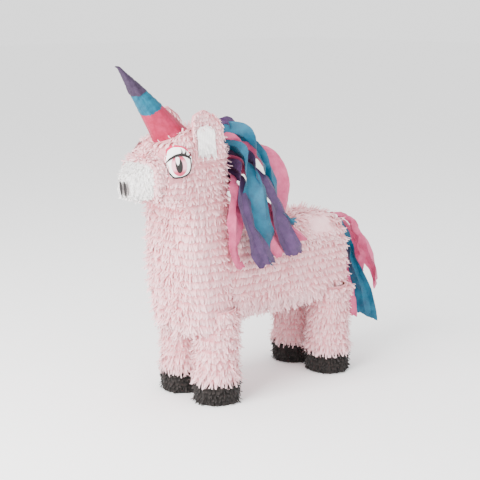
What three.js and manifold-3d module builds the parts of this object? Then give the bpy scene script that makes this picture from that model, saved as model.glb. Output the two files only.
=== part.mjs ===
// Unicorn pinata: cardboard tubes and boxes under tissue fringe, with a wrapped paper horn,
// flat ears, paper stickers, and a mane and tail of crepe-paper streamers.
// Millimetres, +Z up. The animal faces -Y and its left side is +X.
import * as THREE from "three";
import { mergeVertices } from "three/addons/utils/BufferGeometryUtils.js";
import Module from "manifold-3d";

const wasm = await Module();
wasm.setup();

// ---- Sizes ----
const gap = 0.3; // clearance between pieces that touch
const card = 3; // cardboard wall
const pile = 5; // depth of the tissue fringe on the body
const sheet = 0.9; // thickness of stickers, wraps and cover sheets

const legReach = 131.3; // leg axis to the middle of the body, front and rear
const legApart = 11.2; // clear space between the fringes of a pair of legs
const legRadius = 32.5; // outside of a cardboard leg tube
const legPile = 6; // fringe depth on a leg
const legRise = 24; // how far a leg tube climbs the corner of the body
const hoofTall = 37; // height of the black wrap
const hoofPile = 4.5; // depth of the black wrap
const soleLift = 0.5; // the wrap stops this far above the ground

const bodyLift = 133; // ground to the underside of the cardboard torso
const bodyTall = 150; // height of the cardboard torso
const bodyHalf = 70; // half width of the cardboard torso
const rumpOver = 30; // torso end behind the rear leg axis
const capDeep = 22; // depth of the rump cap
const torsoSquare = 3.3; // superellipse power of the torso section

const chestDrop = 13; // chest underside below the torso underside
const neckHalf = 69; // half width of the cardboard neck at the chest
const neckTopHalf = 61; // half width of the cardboard neck at the head
const neckRise = 45; // top of the cardboard torso to the joint between neck and head
const neckFront = 60; // front leg axis to the front of the chest
const neckBack = 29; // front leg axis to the back of the neck
const neckSquare = 3.3;

const headTall = 124; // height of the head above the neck joint
const headHalf = 54; // half width of the cardboard head at the cheeks
const headFront = 37; // how far the cheeks reach in front of the neck
const headSquare = 3.6;

const muzzleLong = 34; // muzzle in front of the cheeks
const muzzleHalf = 40; // half width of the cardboard muzzle where it leaves the head
const noseHalf = 15; // half width at its front
const muzzleTall = 66; // height of the muzzle where it leaves the head
const noseTall = 40; // height at its front
const muzzlePile = 4;

const hornLong = 152; // length of the horn above its seat
const hornRadius = 26; // cardboard cone at the seat
const hornTip = 1.6; // radius of the cone at the tip
const hornLean = 41.5; // degrees forward of upright
const hornCard = 1.6;
const hornSeat = 28; // length of cone below the seat, cut to the head
const hornBands = [0, 0.39, 0.63, 1]; // where the wraps meet, from seat to tip

const earWide = 59; // front to back, fringe included
const earTall = 80; // base to peak, fringe included
const earCard = 2.4;
const earPile = 3; // fringe depth on each face and round the edge
const earLean = -7; // degrees outward, so the ears lean in
const earBack = 22; // front leg axis to the middle of the ear, towards the front
const patchWide = 39; // white patch inside the ear
const patchTall = 49;
const patchShift = 7; // its middle in front of the ear's

const eyeWide = 50;
const eyeTall = 52;
const nostrilWide = 9.6;
const nostrilTall = 26;
const nostrilPitch = 10.8; // between the two nostrils

const flapLong = 84; // filling flap along the body
const flapMid = 88; // its middle behind the middle of the body
const flapEdge = 24; // fold line to the centre plane
const flapDrop = 38; // its lower edge below the top of the torso
const flapSwing = 4.5; // fringe kept off the fold line so that the flap can turn
const flapFold = 2; // cover sheet kept off the fold line

const hangerLong = 70;
const hangerWide = 52;
const hangerHole = 4; // radius of a rope hole
const hangerPitch = 30; // between the two rope holes
const hangerY = -28;

const streamerWide = 20; // a streamer's strip, narrower than the paper so that the strips stay apart
const streamerThick = 1.1; // crumpled thickness
const maneHalf = 75; // half width of the body that the mane's points are given for
const maneStripWide = 22;
const maneStripThick = 3;
const tailStripWide = 66;
const tailStripTall = 20;

// ---- Colours ----
const kraft = 0xb79a72;
const palePink = 0xefd3d8;
const white = 0xeceae8;
const black = 0x3a3230;
const pink = 0xd97ba3;
const turquoise = 0x1e8fb0;
const purple = 0x6b5590;

// ---- Solids ----
function solid(geometry) {
  const g = geometry.clone();
  for (const name of Object.keys(g.attributes)) if (name !== "position") g.deleteAttribute(name);
  const merged = mergeVertices(g, 1e-4);
  const vertProperties = new Float32Array(merged.attributes.position.array);
  const triVerts = new Uint32Array(merged.index.array);
  const made = new wasm.Manifold(new wasm.Mesh({ numProp: 3, vertProperties, triVerts }));
  if (made.volume() >= 0) return made;
  for (let i = 0; i < triVerts.length; i += 3)
    [triVerts[i + 1], triVerts[i + 2]] = [triVerts[i + 2], triVerts[i + 1]];
  return new wasm.Manifold(new wasm.Mesh({ numProp: 3, vertProperties, triVerts }));
}

function box(x0, x1, y0, y1, z0, z1) {
  const g = new THREE.BoxGeometry(x1 - x0, y1 - y0, z1 - z0);
  g.translate((x0 + x1) / 2, (y0 + y1) / 2, (z0 + z1) / 2);
  return solid(g);
}

function rod(x, y, radius, z0, z1, sides = 24) {
  const g = new THREE.CylinderGeometry(radius, radius, z1 - z0, sides);
  g.rotateX(Math.PI / 2).translate(x, y, (z0 + z1) / 2);
  return solid(g);
}

// An outline drawn in the plane across an axis ("x" or "y"), extruded from a to b along it.
function prism(outline, axis, a, b) {
  const g = new THREE.ExtrudeGeometry(outline, { depth: b - a, bevelEnabled: false, curveSegments: 6 });
  const p = g.attributes.position;
  for (let i = 0; i < p.count; i++) {
    const [u, v, w] = [p.getX(i), p.getY(i), p.getZ(i) + a];
    if (axis === "x") p.setXYZ(i, w, u, v);
    else p.setXYZ(i, u, w, v);
  }
  return solid(g);
}

// A closed body through superellipse sections. A station is [t, u0, u1, half, lean]: the place
// along the body, the section's two ends across it, its half width in X, and how much of an
// offset goes along the body there (-1 on the first face, +1 on the last).
function loft(stations, power, grow, place, { before = 0, after = 0, sides = 24 } = {}) {
  const rows = stations.map(([t, u0, u1, half, lean]) => [t + grow * lean, u0, u1, half]);
  if (before) rows.unshift([rows[0][0] - before, ...rows[0].slice(1)]);
  if (after) rows.push([rows.at(-1)[0] + after, ...rows.at(-1).slice(1)]);
  const last = rows.length - 1;
  const g = new THREE.CylinderGeometry(1, 1, 1, sides, last);
  const p = g.attributes.position;
  const bend = (v) => Math.sign(v) * Math.abs(v) ** (2 / power);
  for (let i = 0; i < p.count; i++) {
    const [along, u0, u1, half] = rows[Math.round((0.5 - p.getY(i)) * last)];
    const r = Math.hypot(p.getX(i), p.getZ(i));
    const c = r > 0.5 ? bend(p.getX(i) / r) : 0;
    const s = r > 0.5 ? bend(p.getZ(i) / r) : 0;
    const u = (u0 + u1) / 2 + c * ((u1 - u0) / 2 + grow);
    p.setXYZ(i, ...place(along, u, s * (half + grow)));
  }
  return solid(g);
}
const alongY = (t, u, x) => [x, t, u];
const alongZ = (t, u, x) => [x, u, t];
const alongNose = (t, u, x) => [x, -t, u];

// ---- Stations, all on the outside of the fringe ----
const flank = bodyHalf + pile;
const torsoTop = bodyLift + bodyTall;
const neckTop = torsoTop + neckRise;
const legSpread = legRadius + legPile + legApart / 2;
const under = bodyLift - pile;
const back = bodyLift + bodyTall + pile;
const rump = legReach + rumpOver + pile;
const torsoAt = [
  [-(legReach + 8), under + 4, back - 4, flank - 9, -1],
  [-(legReach - 30), under, back - 2, flank - 1, 0],
  [-legReach * 0.3, under, back - 3, flank - 1, 0],
  [legReach * 0.3, under - 1, back - 1, flank - 1, 0],
  [rump - 70, under - 1, back + 2, flank, 0],
  [rump - 33, under, back + 1, flank - 1, 0.15],
  [rump - 15, under + 4, back - 5, flank - 5, 0.6],
  [rump - 5, under + 13, back - 15, flank - 14, 0.9],
  [rump, under + 30, back - 33, flank - 31, 1],
];
const chest = under - chestDrop;
const neckY = -legReach;
const wide = neckHalf + pile;
const slim = neckTopHalf + pile;
const rise = (neckTop - chest) / 213;
const neckAt = [
  [chest, neckY - neckFront + 19, neckY + neckBack + 3, wide - 20, -1],
  [chest + 6 * rise, neckY - neckFront + 8, neckY + neckBack + 7, wide - 7, -0.6],
  [chest + 20 * rise, neckY - neckFront + 1, neckY + neckBack + 9, wide - 1, -0.1],
  [chest + 64 * rise, neckY - neckFront - 5, neckY + neckBack + 8, wide, 0],
  [chest + 115 * rise, neckY - neckFront - 13, neckY + neckBack + 6, wide - 1, 0],
  [chest + 165 * rise, neckY - neckFront - 14, neckY + neckBack + 5, (wide + slim) / 2, 0],
  [neckTop, neckY - neckFront - 16, neckY + neckBack + 4, slim, 0],
];
const nape = neckY + neckBack + 5;
const throat = neckY - neckFront - 17;
const cheek = throat - headFront;
const jaw = headHalf + pile;
const headZ = neckTop + gap;
const lift = headTall / 124;
const headAt = [
  [headZ, throat, nape, slim, 0],
  [headZ + 9 * lift, throat - headFront * 0.72, nape, jaw + 3, -0.5],
  [headZ + 20 * lift, cheek, nape, jaw + 1, -0.2],
  [headZ + 64 * lift, cheek - 1, nape + 1, jaw, 0],
  [headZ + 86 * lift, cheek + 6, nape, jaw - 2, 0.1],
  [headZ + 106 * lift, cheek + 25, nape - 4, jaw - 6, 0.5],
  [headZ + 118 * lift, cheek + 45, nape - 11, jaw - 14, 0.85],
  [headZ + headTall, cheek + 62, nape - 26, jaw - 27, 1],
];
const noseY = -cheek + muzzleLong;
const chin = headZ + 14 * lift;
const muzzleAt = [
  [-cheek - 12, chin - 1, chin + muzzleTall + 9, muzzleHalf + 8, -1],
  [-cheek + 4, chin - 1, chin + muzzleTall + 3, muzzleHalf + muzzlePile, 0],
  [-cheek + muzzleLong * 0.5, chin, chin + (muzzleTall * 2 + noseTall) / 3 + 2,
    (muzzleHalf * 1.1 + noseHalf * 0.9) / 2 + muzzlePile, 0.1],
  [noseY - 7, chin + 2, chin + noseTall + 11, noseHalf + muzzlePile + 6, 0.6],
  [noseY, chin + 6, chin + noseTall + 6, noseHalf + muzzlePile, 1],
];
const torso = (grow, ends) => loft(torsoAt, torsoSquare, grow, alongY, ends);
const neck = (grow, ends) => loft(neckAt, neckSquare, grow, alongZ, ends);
const head = (grow, ends) => loft(headAt, headSquare, grow, alongZ, ends);
const muzzle = (grow, ends) => loft(muzzleAt, 3, grow, alongNose, { sides: 20, ...ends });

// ---- The scene graph ----
const root = new THREE.Group();
root.name = "unicorn_pinata";

function add(name, shape, color, roughness = 0.95) {
  const mesh = shape.getMesh();
  const g = new THREE.BufferGeometry();
  g.setAttribute("position", new THREE.BufferAttribute(mesh.vertProperties, 3));
  g.setIndex(new THREE.BufferAttribute(mesh.triVerts, 1));
  g.computeVertexNormals();
  const node = new THREE.Mesh(g, new THREE.MeshStandardMaterial({ color, roughness, metalness: 0 }));
  node.name = name;
  root.add(node);
  return node;
}

// ---- Cardboard core ----
const torsoCard = torso(-pile);
const neckCard = neck(-pile);
const headCard = head(-pile);
const muzzleCard = muzzle(-muzzlePile);
const capY = rump - pile - capDeep;
const everywhere = 2000;
const behind = (y) => box(-everywhere, everywhere, y, everywhere, -everywhere, everywhere);

const flapLow = torsoTop - flapDrop;
const flapWindow = (play, hinge) =>
  box(flapEdge - hinge, everywhere, flapMid - flapLong / 2 - play, flapMid + flapLong / 2 + play,
    flapLow - play, everywhere);
const ropeHoles = (radius) =>
  rod(0, hangerY - hangerPitch / 2, radius, bodyLift + bodyTall / 2, torsoTop + 60, 12)
    .add(rod(0, hangerY + hangerPitch / 2, radius, bodyLift + bodyTall / 2, torsoTop + 60, 12));

const torsoHollow = torso(-pile - card, { before: 60 });
add("torso_tube",
  torsoCard.subtract(torsoHollow).subtract(behind(capY)).subtract(neck(-pile + gap))
    .subtract(flapWindow(gap, gap)).subtract(ropeHoles(hangerHole)), kraft);
add("rump_cap", torsoCard.subtract(torsoHollow).intersect(behind(capY + gap)), kraft);
add("neck_tube", neckCard.subtract(neck(-pile - card, { after: 30 })), kraft);
add("head_shell",
  headCard.subtract(head(-pile - card, { before: 30 })), kraft);
add("muzzle_box",
  muzzleCard.subtract(muzzle(-muzzlePile - card, { before: 40 })).subtract(head(-pile + gap)), kraft);
add("hanger_plate",
  box(-hangerWide / 2, hangerWide / 2, hangerY - hangerLong / 2, hangerY + hangerLong / 2,
    torsoTop - card * 2 - 4 - gap, torsoTop - card - 4 - gap).subtract(ropeHoles(hangerHole)), kraft);

// ---- Filling flap: a panel of the torso's own cardboard, folded along its upper edge ----
add("fill_flap",
  torsoCard.subtract(torsoHollow).intersect(flapWindow(0, 0)), kraft);
add("flap_cover",
  torso(-pile + gap + sheet).subtract(torso(-pile + gap)).intersect(flapWindow(0, -flapFold)), palePink);

// ---- Legs ----
const corners = [
  ["front_left", 1, -1],
  ["front_right", -1, -1],
  ["rear_left", 1, 1],
  ["rear_right", -1, 1],
];
const legTop = bodyLift + legRise;
const bodySkin = torso(gap).add(neck(gap));
const bodyBoard = torso(-pile + gap).add(neck(-pile + gap));
let legBoards = null;
for (const [side, sx, sy] of corners) {
  const [x, y] = [sx * legSpread, sy * legReach];
  const tube = rod(x, y, legRadius, card + gap, legTop);
  add(`leg_tube_${side}`,
    tube.subtract(rod(x, y, legRadius - card, 0, legTop + 10)).subtract(bodyBoard), kraft);
  add(`sole_${side}`, rod(x, y, legRadius, 0, card), kraft);
  add(`hoof_wrap_${side}`,
    rod(x, y, legRadius + hoofPile, soleLift, hoofTall)
      .subtract(rod(x, y, legRadius + gap, -1, hoofTall + 1)), black, 0.9);
  add(`leg_fringe_${side}`,
    rod(x, y, legRadius + legPile, hoofTall + gap, legTop)
      .subtract(rod(x, y, legRadius + gap, 0, legTop + 10)).subtract(bodySkin), palePink);
  const board = rod(x, y, legRadius + gap, 0, legTop + gap);
  legBoards = legBoards ? legBoards.add(board) : board;
}

// ---- Horn: a cardboard cone with three paper wraps ----
const lean = THREE.MathUtils.degToRad(hornLean);
const hornBase = [neckY - neckFront + 3, headZ + headTall - 13];
const taper = (hornRadius - hornTip) / hornLong;
function cone(from, to, offset) {
  const r = (s) => Math.max(hornRadius - taper * s + offset, 0.3);
  const g = new THREE.CylinderGeometry(r(to), r(from), to - from, 24);
  g.translate(0, (from + to) / 2, 0).rotateX(Math.PI / 2 + lean);
  return solid(g.translate(0, hornBase[0], hornBase[1]));
}
const hornWhole = cone(-hornSeat, hornLong, gap);
add("horn_cone",
  cone(-hornSeat, hornLong - 4, 0)
    .subtract(cone(-hornSeat - 20, hornLong - 16, -hornCard)).subtract(head(-pile + gap)), kraft);
const wrapColours = [["pink", pink], ["turquoise", turquoise], ["purple", purple]];
const aboveFringe = head(gap);
wrapColours.forEach(([name, colour], i) => {
  const from = i ? hornLong * hornBands[i] + gap : -hornSeat;
  const to = hornLong * hornBands[i + 1];
  const core = cone(from - 5, i < 2 ? to + 5 : hornLong - 4 + gap, gap);
  add(`horn_wrap_${name}`, cone(from, to, gap + sheet).subtract(core).subtract(aboveFringe),
    colour, 0.6);
});

// ---- Ears: flat cardboard with fringe round it and a white patch on the outer face ----
const earY = neckY - earBack;
const earZ = headZ + headTall * 0.6;
const earX = jaw - pile + gap;
function earOutline(grow) {
  const w = earWide / 2 - earPile + grow;
  const top = earTall - earPile + grow;
  const s = new THREE.Shape();
  s.moveTo(-w, -grow);
  s.lineTo(-w * 0.98, top * 0.8);
  s.quadraticCurveTo(-w * 0.94, top * 0.97, -w * 0.17, top);
  s.quadraticCurveTo(w * 0.5, top * 0.9, w * 0.95, top * 0.66);
  s.lineTo(w, -grow);
  s.closePath();
  return s;
}
function patchOutline(grow) {
  const [a, b] = [-patchShift - patchWide / 2 - grow, -patchShift + patchWide / 2 + grow];
  const [low, high] = [5 - grow, 5 + patchTall + grow];
  const s = new THREE.Shape();
  s.moveTo(a, low);
  s.lineTo(a, high);
  s.quadraticCurveTo((a + b) / 2, high + 4, b, high - 7);
  s.lineTo(b, low);
  s.closePath();
  return s;
}
// Ear solids stand on the left and lean about their foot; the right ear is the mirror.
function earPlaced(shape, sx) {
  const turned = shape.rotate([0, earLean, 0]).translate([earX, earY, earZ]);
  return sx > 0 ? turned : turned.mirror([1, 0, 0]);
}
const earBoard = (grow) => prism(earOutline(grow), "x", -grow, earCard + grow);
const earPatch = (grow) =>
  prism(patchOutline(grow), "x", earCard + gap - (grow ? 2 : 0), earCard + earPile - 0.6 + grow * 5);
let earCuts = null;
for (const [side, sx] of [["left", 1], ["right", -1]]) {
  const board = earPlaced(earBoard(0), sx);
  add(`ear_card_${side}`, board.subtract(headCard), kraft);
  const coat = prism(earOutline(earPile), "x", -earPile, earCard + earPile)
    .subtract(prism(earOutline(gap), "x", -gap, earCard + gap))
    .subtract(prism(patchOutline(gap), "x", 0, earCard + earPile + 5))
    .intersect(box(-everywhere, everywhere, -everywhere, everywhere, 2, everywhere));
  add(`ear_fringe_${side}`, earPlaced(coat, sx).subtract(aboveFringe), palePink);
  add(`ear_patch_${side}`,
    earPlaced(prism(patchOutline(0), "x", earCard + gap, earCard + earPile - 0.4), sx), white);
  const cut = earPlaced(prism(earOutline(earPile + gap), "x", -gap, everywhere), sx);
  earCuts = earCuts ? earCuts.add(cut) : cut;
}

// ---- Fringe skins ----
add("torso_fringe",
  torso(0).subtract(torso(-pile + gap)).subtract(neck(gap)).subtract(legBoards)
    .subtract(flapWindow(gap, flapSwing)).subtract(ropeHoles(hangerHole)), palePink);
add("neck_fringe",
  neck(0).subtract(neck(-pile + gap, { after: 30 })).subtract(torso(-pile + gap))
    .subtract(legBoards), palePink);
add("head_fringe",
  head(0).subtract(head(-pile + gap, { before: 30 })).subtract(hornWhole).subtract(earCuts)
    .subtract(muzzle(gap, { before: 40 })), palePink);
add("muzzle_fringe",
  muzzle(0).subtract(muzzle(-muzzlePile + gap, { before: 40 })).subtract(head(-pile + gap)), white);

// ---- Stickers ----
const eyeY = cheek + 28;
const eyeZ = headZ + 77 * lift;
for (const [side, sx] of [["left", 1], ["right", -1]]) {
  const eye = new THREE.Shape().absellipse(eyeY, eyeZ, eyeWide / 2, eyeTall / 2, 0, Math.PI * 2);
  add(`eye_sticker_${side}`,
    head(gap + sheet).subtract(head(gap))
      .intersect(prism(eye, "x", sx > 0 ? 8 : -everywhere, sx > 0 ? everywhere : -8))
      .subtract(muzzle(gap * 2, { before: 40 }))
      .subtract(earPlaced(prism(earOutline(earPile + gap), "x", -9, 60), sx)), white, 0.4);
  const nostril = new THREE.Shape();
  nostril.absellipse(sx * nostrilPitch / 2, chin + 21, nostrilWide / 2, nostrilTall / 2, 0, Math.PI * 2, false,
    0.1);
  add(`nostril_sticker_${side}`,
    muzzle(gap + sheet).subtract(muzzle(gap)).intersect(prism(nostril, "y", -everywhere, cheek - 12)),
    black, 0.5);
}

// ---- Mane and tail ----
add("mane_strip",
  head(gap + maneStripThick).subtract(head(gap))
    .intersect(box(-maneStripWide / 2, maneStripWide / 2, nape - 40, nape + 40, headZ + 14,
      headZ + headTall - 7)), pink, 0.8);
add("tail_strip",
  torso(gap + maneStripThick).subtract(torso(gap))
    .intersect(box(-tailStripWide / 2, tailStripWide / 2, rump - 12, rump + 40,
      back - 12 - tailStripTall, back - 12)), white, 0.8);

// A streamer is a strip bent along a curve. Its face turns from one direction to another on
// the way down, and it is gathered at its root.
function streamer(points, { faceA, faceB, turn = 0.45, width = streamerWide, root = 0.52, tip = 1 }) {
  const curve = new THREE.CatmullRomCurve3(points.map((p) => new THREE.Vector3(...p)), false,
    "centripetal");
  const steps = 14;
  const g = new THREE.BoxGeometry(1, 1, 1, 1, steps, 1);
  const p = g.attributes.position;
  const [a, b] = [new THREE.Vector3(...faceA), new THREE.Vector3(...faceB)];
  for (let i = 0; i < p.count; i++) {
    const t = 0.5 - p.getY(i);
    const along = curve.getTangentAt(t);
    const k = THREE.MathUtils.smoothstep(t, 0, turn);
    const face = a.clone().lerp(b, k).normalize();
    const across = new THREE.Vector3().crossVectors(along, face).normalize();
    const normal = new THREE.Vector3().crossVectors(across, along).normalize();
    const spread = t < 0.3 ? THREE.MathUtils.lerp(root, 1, t / 0.3)
      : THREE.MathUtils.lerp(1, tip, Math.max(0, (t - 0.7) / 0.3));
    const at = curve.getPointAt(t)
      .addScaledVector(across, p.getX(i) * width * spread)
      .addScaledVector(normal, p.getZ(i) * streamerThick);
    p.setXYZ(i, at.x, at.y, at.z);
  }
  return solid(g);
}

// Mane points are [out, behind, up]: out from the centre plane, or from the flank when the
// streamer hangs beside it, behind the crest, and up from the neck joint.
const crest = nape + gap + maneStripThick + streamerThick;
const side = (d) => maneHalf + d;
const maneStreamers = [
  ["mane_purple_top", purple, [[1, 1, 119], [3, 16, 122], [-2, 34, 117], [-14, 48, 98],
    [-20, 52, 70], [-24, 50, 36], [-25, 46, 4]]],
  ["mane_turquoise_outer", turquoise, [[1, 1, 107], [14, 20, 109], [32, 40, 101], [50, 52, 78],
    [side(-13), 60, 52], [side(-7), 58, 20], [side(0), 68, -12], [side(6), 90, -38], [side(9), 112, -44]]],
  ["mane_pink_loop", pink, [[1, 1, 95], [12, 16, 97], [28, 50, 82], [42, 80, 62], [52, 94, 36],
    [56, 94, 4], [58, 86, -26]]],
  ["mane_turquoise_front", turquoise, [[1, 1, 83], [16, 14, 84], [44, 18, 76], [66, 16, 52],
    [side(5), 14, 10], [side(9), 18, -34], [side(11), 34, -68], [side(11), 50, -106]]],
  ["mane_purple_back", purple, [[1, 1, 71], [18, 20, 66], [46, 34, 64], [70, 36, 38],
    [side(12), 52, -4], [side(16), 68, -50], [side(19), 100, -102]]],
  ["mane_pink_middle", pink, [[1, 1, 59], [18, 12, 60], [40, 24, 50], [57, 28, 28],
    [side(0), 32, -14], [side(7), 48, -52], [side(11), 76, -98]]],
  ["mane_purple_front", purple, [[1, 1, 47], [20, 9, 52], [50, 9, 46], [side(0), -8, 14],
    [side(13), -8, -26], [side(18), 8, -66], [side(20), 34, -110]]],
  ["mane_pink_front", pink, [[1, 1, 35], [20, 7, 38], [52, -4, 26], [side(2), -22, -4],
    [side(8), -24, -36], [side(6), -26, -74], [side(8), -10, -112]]],
  ["mane_pink_curl", pink, [[1, 1, 23], [20, 10, 22], [46, 30, 8], [side(0), 56, -22],
    [side(5), 80, -48], [side(8), 102, -64], [side(10), 122, -80]]],
];
for (const [name, colour, points] of maneStreamers) {
  const path = points.map(([x, y, z]) => [x * flank / maneHalf, crest + y, neckTop + z]);
  add(name, streamer(path, { faceA: [-0.2, 1, 0.1], faceB: [1, 0.15, 0.1] }), colour, 0.75);
}

// Tail points are [out, behind the rump, up from the tail strip].
const tailZ = back - 12 - tailStripTall / 2;
const tailY = rump + gap + maneStripThick + streamerThick;
const tailStreamers = [
  ["tail_pink_long", pink, [[14, 0, 3], [15, 20, 2], [17, 44, -12], [19, 64, -40], [20, 86, -74],
    [20, 104, -112], [20, 112, -148]], 0.8],
  ["tail_pink_wide", pink, [[-4, 0, 0], [-3, 16, -3], [0, 36, -22], [4, 54, -50], [6, 66, -80],
    [6, 68, -110]], 0.9],
  ["tail_turquoise", turquoise, [[27, 0, -4], [27, 10, -12], [28, 22, -38], [30, 34, -70],
    [32, 46, -104], [33, 66, -138], [34, 76, -176], [34, 72, -188]], 0.9],
  ["tail_purple", purple, [[-16, 0, -4], [-15, 10, -10], [-12, 20, -34], [-10, 30, -70],
    [-8, 38, -104], [-8, 42, -134]], 0.8],
  ["tail_pink_inner", pink, [[4, 2, -8], [6, 7, -20], [10, 12, -60], [13, 22, -110],
    [14, 34, -160], [14, 40, -196]], 0.9],
];
for (const [name, colour, points, tip] of tailStreamers) {
  const path = points.map(([x, y, z]) => [x, tailY + y, tailZ + z]);
  add(name, streamer(path, { faceA: [0, 0.3, 1], faceB: [0.75, -0.6, 0.2], root: 0.5, tip }),
    colour, 0.75);
}

// The origin is the middle of the bottom of the whole part.
const bounds = new THREE.Box3().setFromObject(root);
const middle = bounds.getCenter(new THREE.Vector3());
root.position.set(-middle.x, -middle.y, -bounds.min.z);

export default root;
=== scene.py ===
import math

import bpy
import numpy as np
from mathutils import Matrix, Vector
from mathutils.bvhtree import BVHTree


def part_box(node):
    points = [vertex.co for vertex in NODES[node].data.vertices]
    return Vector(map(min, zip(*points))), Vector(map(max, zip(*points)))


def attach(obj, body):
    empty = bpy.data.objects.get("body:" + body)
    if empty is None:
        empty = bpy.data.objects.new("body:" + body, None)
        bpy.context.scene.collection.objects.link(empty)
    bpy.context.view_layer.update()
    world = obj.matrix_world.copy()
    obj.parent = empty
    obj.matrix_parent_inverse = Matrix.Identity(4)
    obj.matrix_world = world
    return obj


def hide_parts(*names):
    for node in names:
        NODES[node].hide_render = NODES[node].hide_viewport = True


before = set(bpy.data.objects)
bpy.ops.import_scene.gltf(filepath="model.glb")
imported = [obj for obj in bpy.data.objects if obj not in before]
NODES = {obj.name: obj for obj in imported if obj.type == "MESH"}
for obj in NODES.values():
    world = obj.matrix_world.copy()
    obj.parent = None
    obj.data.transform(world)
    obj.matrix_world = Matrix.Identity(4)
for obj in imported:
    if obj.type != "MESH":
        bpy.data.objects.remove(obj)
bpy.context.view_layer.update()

MM = 0.001
LEGS = ["front_left", "front_right", "rear_left", "rear_right"]
rng = np.random.default_rng(7)


def centre(node):
    lo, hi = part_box(node)
    return (lo + hi) / 2


# The middle between the four legs, from which the places below are given in millimetres.
MID = sum((centre(f"sole_{s}") for s in LEGS), Vector()) / 4
MID.z = 0
LEG_AT = {s: (centre(f"sole_{s}") - MID) / MM for s in LEGS}


def at(x, y, z):
    return MID + Vector((x, y, z)) * MM


def mm(p):
    return np.array((Vector(p) - MID) / MM)


def box_mm(node):
    """The two corners of a node's box."""
    return [mm(v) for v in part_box(node)]


def compass(degrees):
    """Cosine and sine of an angle."""
    return math.cos(math.radians(degrees)), math.sin(math.radians(degrees))


def run_length(p):
    """Distance along a line of points, from its first."""
    return np.r_[0, np.cumsum(np.linalg.norm(np.diff(p, axis=0), axis=1))]


def grid_faces(rows, cols):
    i = np.arange(rows * cols).reshape(rows, cols)
    return np.stack([i[:-1, :-1], i[:-1, 1:], i[1:, 1:], i[1:, :-1]], -1).reshape(-1, 4)


# ---------------------------------------------------------------- camera, floor and light
def look_at(obj, target):
    obj.rotation_euler = (target - obj.location).to_track_quat("-Z", "Y").to_euler()


cam = bpy.data.objects.new("camera", bpy.data.cameras.new("camera"))
bpy.context.collection.objects.link(cam)
AZ, EL, FAR = math.radians(48.2), math.radians(11.3), 2037.3
TARGET = at(0, -39.8, 251.3)
cam.location = TARGET + Vector((math.sin(AZ) * math.cos(EL), -math.cos(AZ) * math.cos(EL),
                                math.sin(EL))) * FAR * MM
look_at(cam, TARGET)
cam.data.lens, cam.data.sensor_width = 90, 36
cam.data.clip_start, cam.data.clip_end = 0.05, 50
bpy.context.scene.camera = cam


class Tree:
    """Short calls for building a node tree."""

    def __init__(self, name):
        self.mat = bpy.data.materials.new(name)
        self.mat.use_nodes = True
        self.t = self.mat.node_tree
        self.t.nodes.clear()
        self.out = self.node("ShaderNodeOutputMaterial")
        self.bsdf = self.node("ShaderNodeBsdfPrincipled")
        self.link(self.bsdf.outputs[0], self.out.inputs[0])

    def node(self, kind, **values):
        n = self.t.nodes.new(kind)
        for k, v in values.items():
            setattr(n, k, v)
        return n

    def link(self, a, b):
        self.t.links.new(a, b)

    def put(self, n, key, value):
        if isinstance(value, bpy.types.NodeSocket):
            self.link(value, n.inputs[key])
        elif value is not None:
            n.inputs[key].default_value = value
        return n

    def coords(self):
        return self.node("ShaderNodeTexCoord").outputs["Object"]

    def noise(self, scale, detail=4, rough=0.6, vector=None, stretch=None):
        n = self.node("ShaderNodeTexNoise")
        n.inputs["Scale"].default_value = scale
        n.inputs["Detail"].default_value = detail
        n.inputs["Roughness"].default_value = rough
        v = vector or self.coords()
        if stretch:
            m = self.node("ShaderNodeMapping")
            m.inputs["Scale"].default_value = stretch
            self.link(v, m.inputs[0])
            v = m.outputs[0]
        self.link(v, n.inputs["Vector"])
        return n.outputs["Fac"]

    def attribute(self, name):
        return self.node("ShaderNodeAttribute", attribute_name=name).outputs["Fac"]

    def math(self, op, a, b=None):
        n = self.node("ShaderNodeMath", operation=op)
        self.put(n, 0, a)
        self.put(n, 1, b)
        return n.outputs[0]

    def mix(self, fac, a, b, kind="MIX"):
        n = self.node("ShaderNodeMix", data_type="RGBA", blend_type=kind)
        self.put(n, "Factor", fac)
        for key, v in ((6, a), (7, b)):
            if isinstance(v, bpy.types.NodeSocket):
                self.link(v, n.inputs[key])
            else:
                n.inputs[key].default_value = (*v, 1)
        return n.outputs[2]

    def ramp(self, fac, *stops):
        n = self.node("ShaderNodeValToRGB")
        e = n.color_ramp.elements
        while len(e) < len(stops):
            e.new(0.5)
        for el, (pos, c) in zip(e, stops):
            el.position = pos
            el.color = (*c, 1) if hasattr(c, "__len__") else (c, c, c, 1)
        self.link(fac, n.inputs[0])
        return n.outputs[0]

    def bump(self, height, strength, distance=0.001):
        n = self.node("ShaderNodeBump")
        n.inputs["Strength"].default_value = strength
        n.inputs["Distance"].default_value = distance
        self.link(height, n.inputs["Height"])
        self.link(n.outputs[0], self.bsdf.inputs["Normal"])

    def thin(self, color, share):
        """Lets some light through, as thin paper does."""
        through = self.put(self.node("ShaderNodeBsdfTranslucent"), "Color", color)
        both = self.put(self.node("ShaderNodeMixShader"), 0, share)
        self.link(self.bsdf.outputs[0], both.inputs[1])
        self.link(through.outputs[0], both.inputs[2])
        self.link(both.outputs[0], self.out.inputs[0])

    def done(self, color, roughness=0.9, sheen=0.0, specular=0.3, thin=0.0):
        if thin:
            self.thin(color, thin)
        self.put(self.bsdf, "Base Color", color if isinstance(color, bpy.types.NodeSocket) else (*color, 1))
        self.put(self.bsdf, "Roughness", roughness)
        self.bsdf.inputs["Sheen Weight"].default_value = sheen
        self.bsdf.inputs["Sheen Roughness"].default_value = 0.5
        self.bsdf.inputs["Specular IOR Level"].default_value = specular
        return self.mat


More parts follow.
